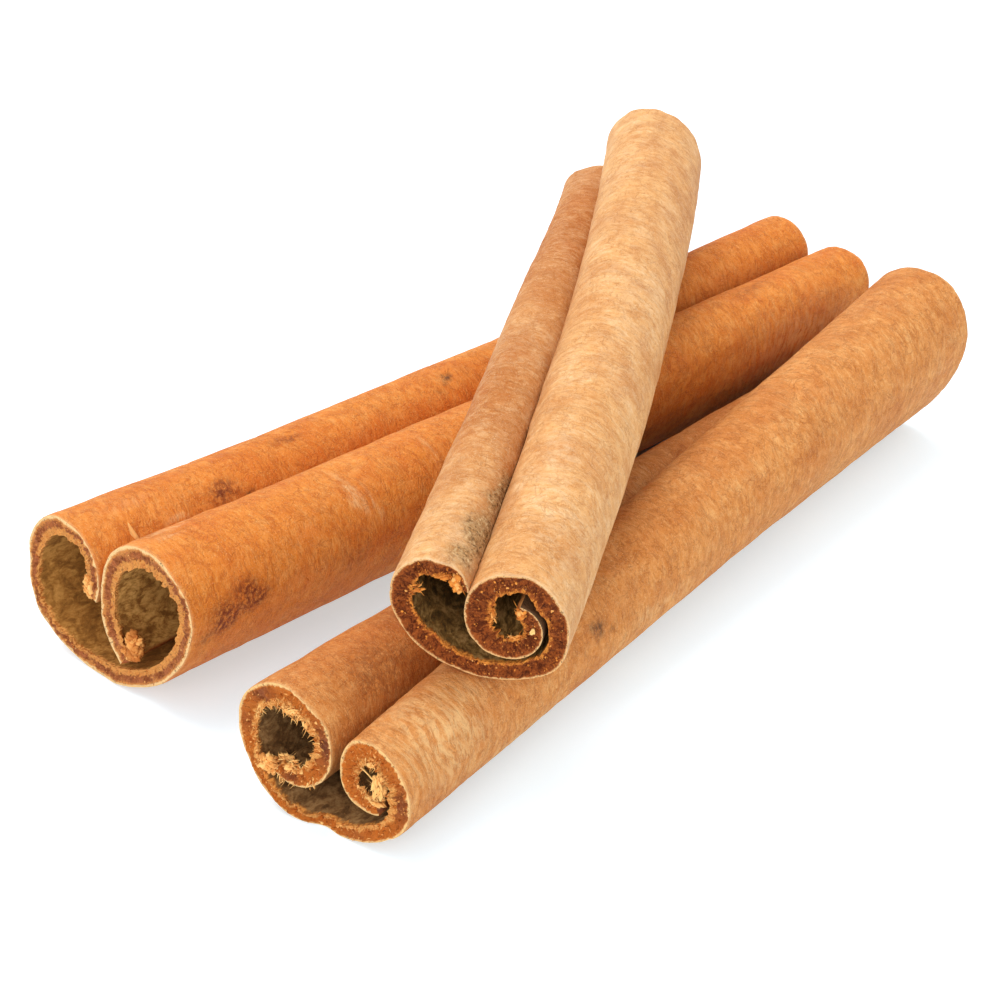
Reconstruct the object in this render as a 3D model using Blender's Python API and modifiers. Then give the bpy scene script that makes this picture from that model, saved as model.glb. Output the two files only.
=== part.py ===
"""Stack of cinnamon sticks: two double-scroll quills lie side by side on a surface and a third rests across both.

Each stick is one strip of bark. Both long edges of the strip curl inwards over its back, so a section
reads as two scrolls joined by a common belly. The strip is modelled flat, rolled up by a function of its
bend radii, and given its thickness by Solidify.
Frame: +Y runs along the left stick towards its far end, +Z is up, z = 0 is the surface they lie on and the
origin is the middle of the stack's footprint.
"""
import bpy
import bmesh
from math import cos, sin, radians

MM = 0.001

# ---------------------------------------------------------------- driving dimensions (mm, degrees)
STRIP_ACROSS = 72            # facets across the bark, from one curled edge to the other (even)
STRIP_ALONG = 9              # facets along a stick
EDGE_THIN = 0.72             # bark thickness at the curled edges, as a share of the full thickness
EDGE_RUN = 0.12              # share of the strip over which it thins
FLAT_SPOT = 0.08             # depth by which a belly is flattened where it lies on the surface
FOOTPRINT_SHIFT = (-9.9, 3.0)   # from the left stick's heel to the middle of the footprint

# A section is given by the bend radius of the outer skin at these turn angles, counted from the belly:
# 0 belly, 90 outer flank, 180 crown, 270 down the inner flank, 360 back under the crown, 450 second lap.
TURN_STATIONS = (0, 45, 90, 180, 270, 360, 450)

LEFT_STICK = dict(
    name="stick_left", length=79.1, bark=1.4, heading=90.0, heel=(-0.2, -41.3), bow=(0.1, 0.0), lies=True,
    near=dict(left=(14.3, 4.2, 6.3, 4.3, 3.0, 3.4, 3.3), left_turn=303,
              right=(13.0, 11.8, 3.9, 5.0, 7.3, 2.7, 2.7), right_turn=318, roll=-1.3),
    far=dict(left=(3.2, 4.8, 10.2, 3.1, 2.8, 3.0, 3.2), left_turn=350,
             right=(10.0, 13.1, 2.2, 4.3, 3.5, 3.4, 3.1), right_turn=290, roll=16.6))

RIGHT_STICK = dict(
    name="stick_right", length=79.9, bark=1.4, heading=99.4, heel=(25.1, -43.1), bow=(-0.3, 0.0), lies=True,
    near=dict(left=(5.2, 6.5, 4.8, 3.7, 4.2, 3.0, 2.5), left_turn=385,
              right=(17.8, 3.7, 3.9, 3.1, 2.6, 2.7, 2.4), right_turn=388, roll=-7.1),
    far=dict(left=(3.2, 4.4, 5.0, 2.1, 2.1, 2.1, 2.1), left_turn=300,
             right=(6.7, 12.8, 4.5, 5.2, 2.6, 3.2, 2.8), right_turn=275, roll=14.5))

TOP_STICK = dict(
    name="stick_top", length=72.8, bark=1.4, heading=124.6, heel=(31.8, -31.0), bow=(1.4, 1.7), lies=False,
    heel_height=(8.85, 14.55),
    near=dict(left=(9.3, 7.1, 3.8, 2.5, 3.1, 3.7, 4.6), left_turn=257,
              right=(8.9, 1.9, 5.7, 2.9, 3.8, 2.6, 2.2), right_turn=525, roll=-1.8),
    far=dict(left=(13.9, 3.6, 2.5, 2.9, 2.2, 2.6, 4.0), left_turn=198,
             right=(4.9, 6.8, 5.2, 3.7, 4.7, 2.5, 2.2), right_turn=450, roll=21.3))

# name, base colour (linear), roughness
BARK_LOOK = {
    "stick_left": ((0.60, 0.27, 0.09, 1.0), 0.75),
    "stick_right": ((0.58, 0.30, 0.11, 1.0), 0.75),
    "stick_top": ((0.72, 0.42, 0.20, 1.0), 0.75),
}


# ---------------------------------------------------------------- the shape of a section
def radius_at(turn, radii):
    """Bend radius at a turn angle, straight between the stations and constant beyond the last."""
    if turn <= TURN_STATIONS[0]:
        return radii[0]
    for a0, a1, r0, r1 in zip(TURN_STATIONS, TURN_STATIONS[1:], radii, radii[1:]):
        if turn <= a1:
            return r0 + (r1 - r0) * (turn - a0) / (a1 - a0)
    return radii[-1]


def scroll(radii, end_turn, facets, side):
    """Outer skin of one scroll, from the belly point to the curled edge. side is -1 for left, +1 for right."""
    points = [(0.0, 0.0)]
    x = y = 0.0
    fine = 4
    step = end_turn / (facets * fine)
    for i in range(facets * fine):
        turn = (i + 0.5) * step
        r = radius_at(turn, radii)
        x += r * cos(radians(turn)) * radians(step)
        y += r * sin(radians(turn)) * radians(step)
        if (i + 1) % fine == 0:
            points.append((side * x, y))
    return points


def blend(a, b, t):
    if isinstance(a, tuple):
        return tuple(p * (1 - t) + q * t for p, q in zip(a, b))
    return a * (1 - t) + b * t


def section(stick, t):
    """Outer skin of the whole section at t (0 near end, 1 far end), left edge to right edge, in mm."""
    size = {key: blend(stick["near"][key], stick["far"][key], t) for key in stick["near"]}
    half = STRIP_ACROSS // 2
    left = scroll(size["left"], size["left_turn"], half, -1)
    right = scroll(size["right"], size["right_turn"], half, 1)
    c, s = cos(radians(size["roll"])), sin(radians(size["roll"]))
    return [(c * x - s * y, s * x + c * y) for x, y in left[::-1] + right[1:]]


def place(stick, t, x, y, low):
    """A section point in the stack's frame."""
    a = radians(stick["heading"])
    along = (cos(a), sin(a))
    across = (sin(a), -cos(a))
    swell = 4 * t * (1 - t)
    if stick["lies"]:
        height, run = max(y - low - FLAT_SPOT, 0.0), stick["length"] * t
    else:
        h0, h1 = stick["heel_height"]
        lean = (h1 - h0) / stick["length"]
        flat = (1 - lean * lean) ** 0.5
        height = h0 + (h1 - h0) * t + swell * stick["bow"][1] + y * flat
        run = stick["length"] * flat * t - y * lean
    x += swell * stick["bow"][0]
    px = stick["heel"][0] + run * along[0] + x * across[0] + FOOTPRINT_SHIFT[0]
    py = stick["heel"][1] + run * along[1] + x * across[1] + FOOTPRINT_SHIFT[1]
    return px * MM, py * MM, height * MM


# ---------------------------------------------------------------- building
def roll_up(stick):
    """One quill: a flat grid rolled into two scrolls, then thickened inwards."""
    bm = bmesh.new()
    bmesh.ops.create_grid(bm, x_segments=STRIP_ACROSS, y_segments=STRIP_ALONG, size=0.5)
    sections = []
    for j in range(STRIP_ALONG + 1):
        skin = section(stick, j / STRIP_ALONG)
        sections.append((skin, min(y for x, y in skin)))
    thin = {}
    for v in bm.verts:
        i = round((v.co.x + 0.5) * STRIP_ACROSS)
        j = round((v.co.y + 0.5) * STRIP_ALONG)
        skin, low = sections[j]
        edge = min(i, STRIP_ACROSS - i) / STRIP_ACROSS
        thin[v.index] = EDGE_THIN + (1 - EDGE_THIN) * min(1.0, edge / EDGE_RUN)
        v.co = place(stick, j / STRIP_ALONG, skin[i][0], skin[i][1], low)
    # the skin faces out: the belly's faces look down
    bm.faces.ensure_lookup_table()
    bm.normal_update()
    belly = min(bm.faces, key=lambda f: f.calc_center_median().z)
    if belly.normal.z > 0:
        bmesh.ops.reverse_faces(bm, faces=bm.faces[:])
    mesh = bpy.data.meshes.new(stick["name"])
    bm.to_mesh(mesh)
    bm.free()
    mesh.shade_smooth()

    obj = bpy.data.objects.new(stick["name"], mesh)
    full = obj.vertex_groups.new(name="bark_thickness")
    for index, share in thin.items():
        full.add([index], share, "REPLACE")
    shell = obj.modifiers.new("bark", "SOLIDIFY")
    shell.thickness = stick["bark"] * MM
    shell.offset = -1.0
    shell.use_even_offset = True
    shell.vertex_group = "bark_thickness"
    return obj


def bark_material(name):
    colour, roughness = BARK_LOOK[name]
    mat = bpy.data.materials.new(name + "_bark")
    mat.use_nodes = True
    bsdf = mat.node_tree.nodes["Principled BSDF"]
    bsdf.inputs["Base Color"].default_value = colour
    bsdf.inputs["Roughness"].default_value = roughness
    bsdf.inputs["Metallic"].default_value = 0.0
    mat.diffuse_color = colour
    return mat


def main():
    for obj in list(bpy.data.objects):
        bpy.data.objects.remove(obj, do_unlink=True)
    stack = bpy.data.collections.new("stack_of_cinnamon_sticks")
    bpy.context.scene.collection.children.link(stack)
    for stick in (LEFT_STICK, RIGHT_STICK, TOP_STICK):
        obj = roll_up(stick)
        obj.data.materials.append(bark_material(stick["name"]))
        stack.objects.link(obj)


main()
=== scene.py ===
"""Looks for the stack of cinnamon sticks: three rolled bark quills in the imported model's frame.

Each quill is rebuilt at high resolution from the same rolled strip as the solid model. It has four pieces:
the outer skin, the lining with the curled long edges, the two cut faces, and the loose fibres and crumbs.
Strip coordinates are used throughout, in mm: s across the bark from the belly (negative to the left curl),
v along the stick from the near end, w through the bark from 0 at the skin to 1 at the lining.
"""
from math import cos, radians, sin, tan

import bpy
import numpy as np
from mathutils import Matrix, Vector


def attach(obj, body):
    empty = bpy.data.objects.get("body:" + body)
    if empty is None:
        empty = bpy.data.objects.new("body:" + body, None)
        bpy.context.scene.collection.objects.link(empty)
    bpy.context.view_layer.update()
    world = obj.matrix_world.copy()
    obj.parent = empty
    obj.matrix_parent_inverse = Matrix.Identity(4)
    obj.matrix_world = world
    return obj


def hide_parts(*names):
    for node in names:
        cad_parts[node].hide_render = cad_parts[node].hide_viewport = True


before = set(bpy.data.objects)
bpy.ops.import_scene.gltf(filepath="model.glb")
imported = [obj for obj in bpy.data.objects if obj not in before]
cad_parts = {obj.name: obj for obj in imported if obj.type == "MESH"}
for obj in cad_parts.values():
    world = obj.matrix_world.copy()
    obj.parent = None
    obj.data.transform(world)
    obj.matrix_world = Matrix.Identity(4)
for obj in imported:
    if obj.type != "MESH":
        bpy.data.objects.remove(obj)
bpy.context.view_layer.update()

MM = 0.001

# ------------------------------------------------------------------ the sticks, as in the solid model (mm, degrees)
FLAT_SPOT = 0.08
FOOTPRINT_SHIFT = (-9.9, 3.0)
TURN_STATIONS = (0, 45, 90, 180, 270, 360, 450)
LEFT_STICK = dict(
    name="stick_left", length=79.1, bark=1.4, heading=90.0, heel=(-0.2, -41.3), bow=(0.1, 0.0), lies=True,
    near=dict(left=(14.3, 4.2, 6.3, 4.3, 3.0, 3.4, 3.3), left_turn=303,
              right=(13.0, 11.8, 3.9, 5.0, 7.3, 2.7, 2.7), right_turn=318, roll=-1.3),
    far=dict(left=(3.2, 4.8, 10.2, 3.1, 2.8, 3.0, 3.2), left_turn=350,
             right=(10.0, 13.1, 2.2, 4.3, 3.5, 3.4, 3.1), right_turn=290, roll=16.6))
RIGHT_STICK = dict(
    name="stick_right", length=79.9, bark=1.4, heading=99.4, heel=(25.1, -43.1), bow=(-0.3, 0.0), lies=True,
    near=dict(left=(5.2, 6.5, 4.8, 3.7, 4.2, 3.0, 2.5), left_turn=385,
              right=(17.8, 3.7, 3.9, 3.1, 2.6, 2.7, 2.4), right_turn=388, roll=-7.1),
    far=dict(left=(3.2, 4.4, 5.0, 2.1, 2.1, 2.1, 2.1), left_turn=300,
             right=(6.7, 12.8, 4.5, 5.2, 2.6, 3.2, 2.8), right_turn=275, roll=14.5))
TOP_STICK = dict(
    name="stick_top", length=72.8, bark=1.4, heading=124.6, heel=(31.8, -31.0), bow=(1.4, 1.7), lies=False,
    heel_height=(8.85, 14.55),
    near=dict(left=(9.3, 7.1, 3.8, 2.45, 2.5, 2.5, 2.5), left_turn=263,
              right=(8.9, 1.9, 5.7, 2.9, 3.8, 2.6, 2.2), right_turn=525, roll=-1.8),
    far=dict(left=(13.9, 3.6, 2.5, 2.6, 1.55, 1.55, 1.55), left_turn=241,
             right=(4.9, 6.8, 5.2, 3.7, 4.7, 2.5, 2.2), right_turn=450, roll=21.3))
STICKS = (LEFT_STICK, RIGHT_STICK, TOP_STICK)
EDGE_THIN, EDGE_RUN = 0.72, 0.12

# ------------------------------------------------------------------ mesh resolution
SKIN_STEP = 0.24       # mm between skin columns
ROW_STEP = 0.31        # mm between skin rows, away from the cuts
LINING_FINE = 2        # lining columns per skin column
CUT_FINE = 4           # cut-face columns per skin column
THROUGH = 12           # cut-face rows through the bark

# ------------------------------------------------------------------ how each stick is worn
# wave: height of the slow unevenness. lip: how far torn fibres stand into the hollow at a cut.
# ragged: how uneven the cut line is. relief: crumbliness of a cut face. All mm.
WEAR = {
    "stick_left": dict(seed=11, wave=0.20, lip=0.16, lip_deep=0.6, ragged=0.16, relief=0.22),
    "stick_right": dict(seed=37, wave=0.17, lip=0.42, lip_deep=0.8, ragged=0.22, relief=0.32),
    "stick_top": dict(seed=71, wave=0.14, lip=0.22, lip_deep=0.6, ragged=0.14, relief=0.22),
}
# Places where the near cut is bevelled thinner, torn back or torn proud: (s, half width, amount)
NEAR_THIN = {
    "stick_left": ((-9.5, 3.6, 0.42), (-4.0, 3.5, 0.38)),
    "stick_right": ((-4.0, 3.4, 0.66), (0.6, 2.6, 0.55), (4.5, 2.0, 0.25)),
    "stick_top": (),
}
NEAR_TORN = {
    "stick_left": ((27.0, 2.0, -0.25), (-12.0, 1.2, 0.2), (6.0, 1.5, 0.35)),
    "stick_right": ((2.0, 1.1, 0.42), (-2.6, 2.2, -0.15), (6.6, 1.4, -0.12), (-24.0, 2.0, 0.35), (21.0, 2.4, 0.3)),
    "stick_top": ((-18.0, 1.4, 0.5), (-16.2, 0.8, -0.2), (12.5, 1.0, 0.25), (8.5, 0.7, 0.3)),
}
NEAR_LIP = {
    "stick_left": ((24.0, 3.0, 0.22), (-25.6, 1.7, 0.55), (17.0, 3.0, 0.12), (36.5, 2.4, 0.4)),
    "stick_right": ((-14.5, 2.6, 0.30), (-19.5, 2.0, 0.40), (-13.0, 2.0, 0.3), (-24.0, 4.0, 0.35), (15.0, 1.6, 0.5), (12.0, 1.0, 0.3)),
    "stick_top": ((-12.5, 2.0, 0.25), (-16.5, 1.5, 0.3), (19.5, 3.5, 0.3)),
}
# Where the dark band shows on a near cut that is mostly tan: (s, half width, strength)
NEAR_BAND = {
    "stick_right": ((-21.3, 2.0, 1.0), (-12.4, 1.3, 0.9), (-27.4, 0.9, 0.8), (11.6, 1.7, 0.8), (-8.6, 1.0, 0.5), (5.0, 1.2, 0.35)),
}
# Painted patches on the skin: (attribute, s, v, half width across, half length, strength)
MARKS = {
    "stick_left": (
        ("red", 16.2, 5.6, 1.5, 1.7, 1.0), ("red", 15.2, 3.3, 1.5, 1.6, 1.0), ("red", 14.4, 1.4, 1.2, 1.2, 0.55),
        ("red", -23.0, 12.6, 1.3, 1.7, 0.75), ("red", -24.6, 15.0, 1.0, 2.0, 0.6), ("red", -20.8, 20.2, 0.7, 1.9, 0.55),
        ("red", 25.4, 2.4, 1.3, 1.4, 0.45), ("red", 14.6, 16.0, 2.2, 2.4, 0.4), ("red", 19.6, 21.5, 1.2, 1.6, 0.35),
        ("red", -21.5, 62.0, 1.6, 3.4, 0.5), ("red", -25.5, 57.0, 1.2, 3.0, 0.4), ("red", 19.5, 66.0, 1.3, 3.0, 0.45),
        ("red", 4.0, 30.0, 2.5, 5.0, 0.4), ("red", -8.0, 48.0, 2.0, 4.0, 0.5), ("red", 8.5, 60.0, 1.4, 3.0, 0.3),
        ("dark", -21.3, 36.6, 0.45, 0.55, 0.9), ("dark", -22.3, 35.0, 0.5, 0.6, 0.5), ("dark", -21.8, 33.6, 0.4, 0.5, 0.35),
        ("dark", -23.6, 14.6, 0.3, 0.5, 0.8), ("dark", 7.0, 21.0, 0.5, 0.8, 0.5), ("dark", -6.0, 64.0, 0.6, 0.8, 0.6),
        # the pale streaks across the bark at s 18 to 20, v 17 to 26 are smooth bark with its sheen painted in, a
        # painted highlight
        ("pale", 19.3, 17.5, 2.6, 0.5, 0.6), ("pale", 18.0, 18.8, 2.2, 0.4, 0.45), ("pale", 20.0, 26.0, 2.4, 0.6, 0.35),
        ("pale", -20.5, 5.0, 0.8, 3.0, 0.3), ("pale", -23.2, 8.0, 0.35, 1.1, 0.5), ("grey", -27.0, 3.0, 0.8, 2.0, 0.4),
        ("pale", 24.6, 3.4, 0.45, 1.3, 0.95), ("pale", 23.4, 2.0, 0.35, 0.9, 0.7), ("pale", 25.6, 5.4, 0.3, 0.8, 0.7),
        # painted light: the broad pale patch at s 12, v 68 lightens the far part of the right curl against the shade
        # there
        ("warm", 8.0, 12.0, 4.0, 12.0, 0.8), ("warm", 6.0, 36.0, 4.0, 16.0, 0.7), ("pale", 12.0, 68.0, 5.0, 9.0, 0.4),
        # painted shade: the long warm mark at s -24 darkens the left curl where it turns down into the groove
        ("warm", -24.0, 30.0, 2.0, 30.0, 0.5),
    ),
    "stick_right": (
        ("dark", 13.7, 22.8, 0.9, 0.9, 0.8), ("dark", 13.0, 24.2, 0.6, 0.7, 0.5), ("dark", 12.6, 21.2, 0.5, 0.6, 0.35),
        ("red", -18.0, 7.0, 3.5, 5.5, 0.5), ("red", -15.0, 14.0, 3.0, 5.0, 0.45), ("red", -21.0, 15.0, 2.0, 5.0, 0.5),
        ("red", 19.5, 4.0, 1.6, 2.5, 0.35), ("red", 20.0, 12.0, 1.4, 3.0, 0.3), ("red", 15.0, 55.0, 2.0, 3.0, 0.3),
        ("red", -8.0, 34.0, 2.0, 5.0, 0.45), ("red", 2.0, 50.0, 2.0, 5.0, 0.4), ("red", -16.0, 62.0, 2.0, 4.0, 0.4),
        ("grey", 13.6, 6.4, 0.9, 0.8, 0.35), ("grey", 9.0, 37.0, 1.0, 1.6, 0.3), ("dark", -11.0, 52.0, 0.6, 0.8, 0.6),
        ("warm", -14.0, 12.0, 7.0, 14.0, 0.9), ("warm", -20.0, 26.0, 4.0, 12.0, 0.8), ("warm", 9.0, 6.0, 2.5, 8.0, 0.4),
        # painted shade: the long warm mark at s 21 darkens the right curl where it turns down towards the groove
        ("warm", 21.0, 14.0, 2.0, 12.0, 0.5), ("warm", 3.0, 40.0, 3.0, 24.0, 0.5), ("warm", -14.0, 56.0, 5.0, 14.0, 0.7),
        ("pale", 9.6, 14.0, 0.8, 5.0, 0.45), ("pale", 11.5, 30.0, 0.7, 6.0, 0.35), ("pale", 16.5, 20.0, 1.6, 5.0, 0.3),
        ("pale", 15.0, 5.0, 4.5, 6.0, 0.5),
    ),
    "stick_top": (
        ("grey", -18.0, 5.4, 1.3, 3.0, 1.0), ("grey", -18.2, 10.4, 0.9, 3.2, 0.9), ("grey", -17.6, 2.0, 1.3, 1.6, 0.8),
        # painted shade: the warm marks at s -18 and 19.5 and the dark streaks at s -18.3 to -18.9 and 19.8 to 20 darken
        # both curls along the groove where they meet
        ("warm", -13.5, 24.0, 5.5, 13.0, 1.0), ("warm", -13.0, 56.0, 9.0, 26.0, 1.0), ("warm", -18.0, 14.0, 1.6, 8.0, 0.8),
        ("warm", 19.5, 20.0, 2.2, 22.0, 0.6), ("warm", 2.0, 30.0, 3.0, 26.0, 0.5),
        ("dark", -18.3, 18.5, 0.6, 2.6, 0.55), ("dark", -18.4, 23.4, 0.6, 2.0, 0.6), ("dark", -18.6, 12.0, 0.4, 2.0, 0.4),
        ("dark", 19.8, 12.0, 0.5, 7.0, 0.3), ("dark", 20.0, 30.0, 0.5, 9.0, 0.3), ("dark", -18.9, 36.0, 0.5, 8.0, 0.35),
        ("red", 12.0, 3.0, 1.4, 1.3, 0.25), ("red", -2.0, 20.0, 2.0, 4.0, 0.35), ("red", 5.0, 44.0, 1.8, 4.0, 0.35),
        ("grey", 10.0, 21.0, 0.6, 4.0, 0.25), ("red", -8.0, 58.0, 1.5, 3.0, 0.3), ("pale", 14.0, 13.0, 1.6, 6.0, 0.3),
    ),
}

# ------------------------------------------------------------------ noise on the strip
_lattice = {}


def smooth_noise(x, y, seed, n=97):
    """Value noise from -1 to 1, one feature per unit."""
    if seed not in _lattice:
        _lattice[seed] = np.random.RandomState(seed).uniform(-1, 1, (n, n))
    g = _lattice[seed]
    xi, yi = np.floor(x).astype(int), np.floor(y).astype(int)
    fx, fy = x - xi, y - yi
    fx, fy = fx * fx * (3 - 2 * fx), fy * fy * (3 - 2 * fy)
    a, b = g[xi % n, yi % n], g[(xi + 1) % n, yi % n]
    c, d = g[xi % n, (yi + 1) % n], g[(xi + 1) % n, (yi + 1) % n]
    return (a * (1 - fx) + b * fx) * (1 - fy) + (c * (1 - fx) + d * fx) * fy


def uneven(s, v, across, along, seed, octaves=1):
    """Signed unevenness with features of the given size in mm."""
    total, weight, size = 0.0, 0.0, 1.0
    for o in range(octaves):
        total = total + size * smooth_noise(s / across * 2 ** o + 31.7 * o, v / along * 2 ** o + 12.3 * o, seed + o)
        weight += size * 0.8
        size *= 0.55
    return total / weight


def bump_at(s, places):
    total = 0.0 * s
    for centre, half, amount in places:
        total = total + amount * np.exp(-((s - centre) / half) ** 2)
    return total


# ------------------------------------------------------------------ rolling the strip
def curl(stick, t, key, side, count):
    n, f = stick["near"], stick["far"]
    radii = np.array(n[key]) * (1 - t) + np.array(f[key]) * t
    end = n[key + "_turn"] * (1 - t) + f[key + "_turn"] * t
    k = 1200
    step = end / k
    turn = (np.arange(k) + 0.5) * step
    d = np.interp(turn, TURN_STATIONS, radii) * radians(step)
    x = np.concatenate([[0], np.cumsum(d * np.cos(np.radians(turn)))])
    y = np.concatenate([[0], np.cumsum(d * np.sin(np.radians(turn)))])
    s = np.concatenate([[0], np.cumsum(d)])
    at = np.linspace(0, s[-1], count + 1)
    x, y = np.interp(at, s, x), np.interp(at, s, y)
    a = np.radians(np.interp(at, s, np.arange(k + 1) * step))
    return side * x, y, side * np.sin(a), -np.cos(a), side * at, side * np.degrees(a)


def section(stick, t, left, right):
    parts = zip(curl(stick, t, "left", -1, left), curl(stick, t, "right", 1, right))
    x, y, nx, ny, s, turn = (np.concatenate([p[::-1], q[1:]]) for p, q in parts)
    roll = radians(stick["near"]["roll"] * (1 - t) + stick["far"]["roll"] * t)
    c, w = cos(roll), sin(roll)
    return c * x - w * y, w * x + c * y, c * nx - w * ny, w * nx + c * ny, s, turn


def roll_up(stick, ts, left, right):
    """Skin points, outward normals, s and turn for each row, and the stick's axis. In mm."""
    h = radians(stick["heading"])
    along, across, up = np.array((cos(h), sin(h), 0)), np.array((sin(h), -cos(h), 0)), np.array((0, 0, 1.0))
    lean = 0.0
    if not stick["lies"]:
        h0, h1 = stick["heel_height"]
        lean = (h1 - h0) / stick["length"]
    flat = (1 - lean * lean) ** 0.5
    axis, rise = along * flat + up * lean, up * flat - along * lean
    heel = np.array((stick["heel"][0] + FOOTPRINT_SHIFT[0], stick["heel"][1] + FOOTPRINT_SHIFT[1], 0.0))
    points, normals, ss, turns = [], [], [], []
    for t in ts:
        x, y, nx, ny, s, turn = section(stick, t, left, right)
        swell = 4 * t * (1 - t)
        x = x + swell * stick["bow"][0]
        base = heel + axis * (stick["length"] * t)
        if stick["lies"]:
            y = np.maximum(y - y.min() - FLAT_SPOT, 0.0)
        else:
            base = base + up * (stick["heel_height"][0] + swell * stick["bow"][1])
        points.append(base + x[:, None] * across + y[:, None] * rise)
        normals.append(nx[:, None] * across + ny[:, None] * rise)
        ss.append(s)
        turns.append(turn)
    return np.array(points), np.array(normals), np.array(ss), np.array(turns), axis, across, rise


def rows_along(length, fine, coarse, run, growth=1.0):
    """Distances along a stick, close together near both cuts."""
    half = [0.0]
    step = fine
    while half[-1] < length / 2:
        half.append(half[-1] + step)
        step = min(coarse, step * (1 + growth * (coarse / fine - 1) * fine / run))
    half = np.array(half[:-1])
    scale = (length / 2) / half[-1]
    half = half * scale
    return np.concatenate([half, length - half[::-1][1:]])


# ------------------------------------------------------------------ meshes
def grid_faces(rows, cols, start=0, flip=False):
    i = np.arange(rows * cols).reshape(rows, cols) + start
    f = np.stack([i[:-1, :-1], i[:-1, 1:], i[1:, 1:], i[1:, :-1]], -1).reshape(-1, 4)
    return f[:, ::-1] if flip else f


def make_mesh(name, points_mm, faces, attributes, uvs=None):
    mesh = bpy.data.meshes.new(name)
    mesh.vertices.add(len(points_mm))
    mesh.vertices.foreach_set("co", (np.asarray(points_mm) * MM).astype(np.float32).ravel())
    n = len(faces)
    size = faces.shape[1]
    mesh.loops.add(n * size)
    mesh.loops.foreach_set("vertex_index", faces.astype(np.int32).ravel())
    mesh.polygons.add(n)
    mesh.polygons.foreach_set("loop_start", np.arange(0, n * size, size, dtype=np.int32))
    mesh.update(calc_edges=True)
    for key, values in attributes.items():
        values = np.asarray(values, dtype=np.float32)
        if values.ndim == 2:
            mesh.attributes.new(key, "FLOAT_VECTOR", "POINT").data.foreach_set("vector", values.ravel())
        else:
            mesh.attributes.new(key, "FLOAT", "POINT").data.foreach_set("value", values.ravel())
    if uvs is not None:
        layer = mesh.uv_layers.new(name="OFBake")
        layer.uv.foreach_set("vector", np.asarray(uvs, dtype=np.float32).ravel())
    mesh.validate()
    mesh.shade_smooth()
    obj = bpy.data.objects.new(name, mesh)
    bpy.context.scene.collection.objects.link(obj)
    return obj


def cell(u, v, x0, y0, x1, y1):
    return np.stack([x0 + (x1 - x0) * u, y0 + (y1 - y0) * v], -1)


def paint(stick, s, v):
    """Patch strengths on the skin at strip coordinates."""
    seed = WEAR[stick["name"]]["seed"]
    out = {key: np.zeros(s.shape) for key in ("red", "grey", "dark", "pale", "warm")}
    ws = s + 0.55 * uneven(s, v, 1.3, 1.6, seed + 60, 3)
    wv = v + 0.75 * uneven(s, v, 1.3, 1.6, seed + 70, 3)
    for key, s0, v0, rs, rv, strength in MARKS[stick["name"]]:
        out[key] = np.maximum(out[key], strength * np.exp(-((ws - s0) / rs) ** 2 - ((wv - v0) / rv) ** 2))
    return out


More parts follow.
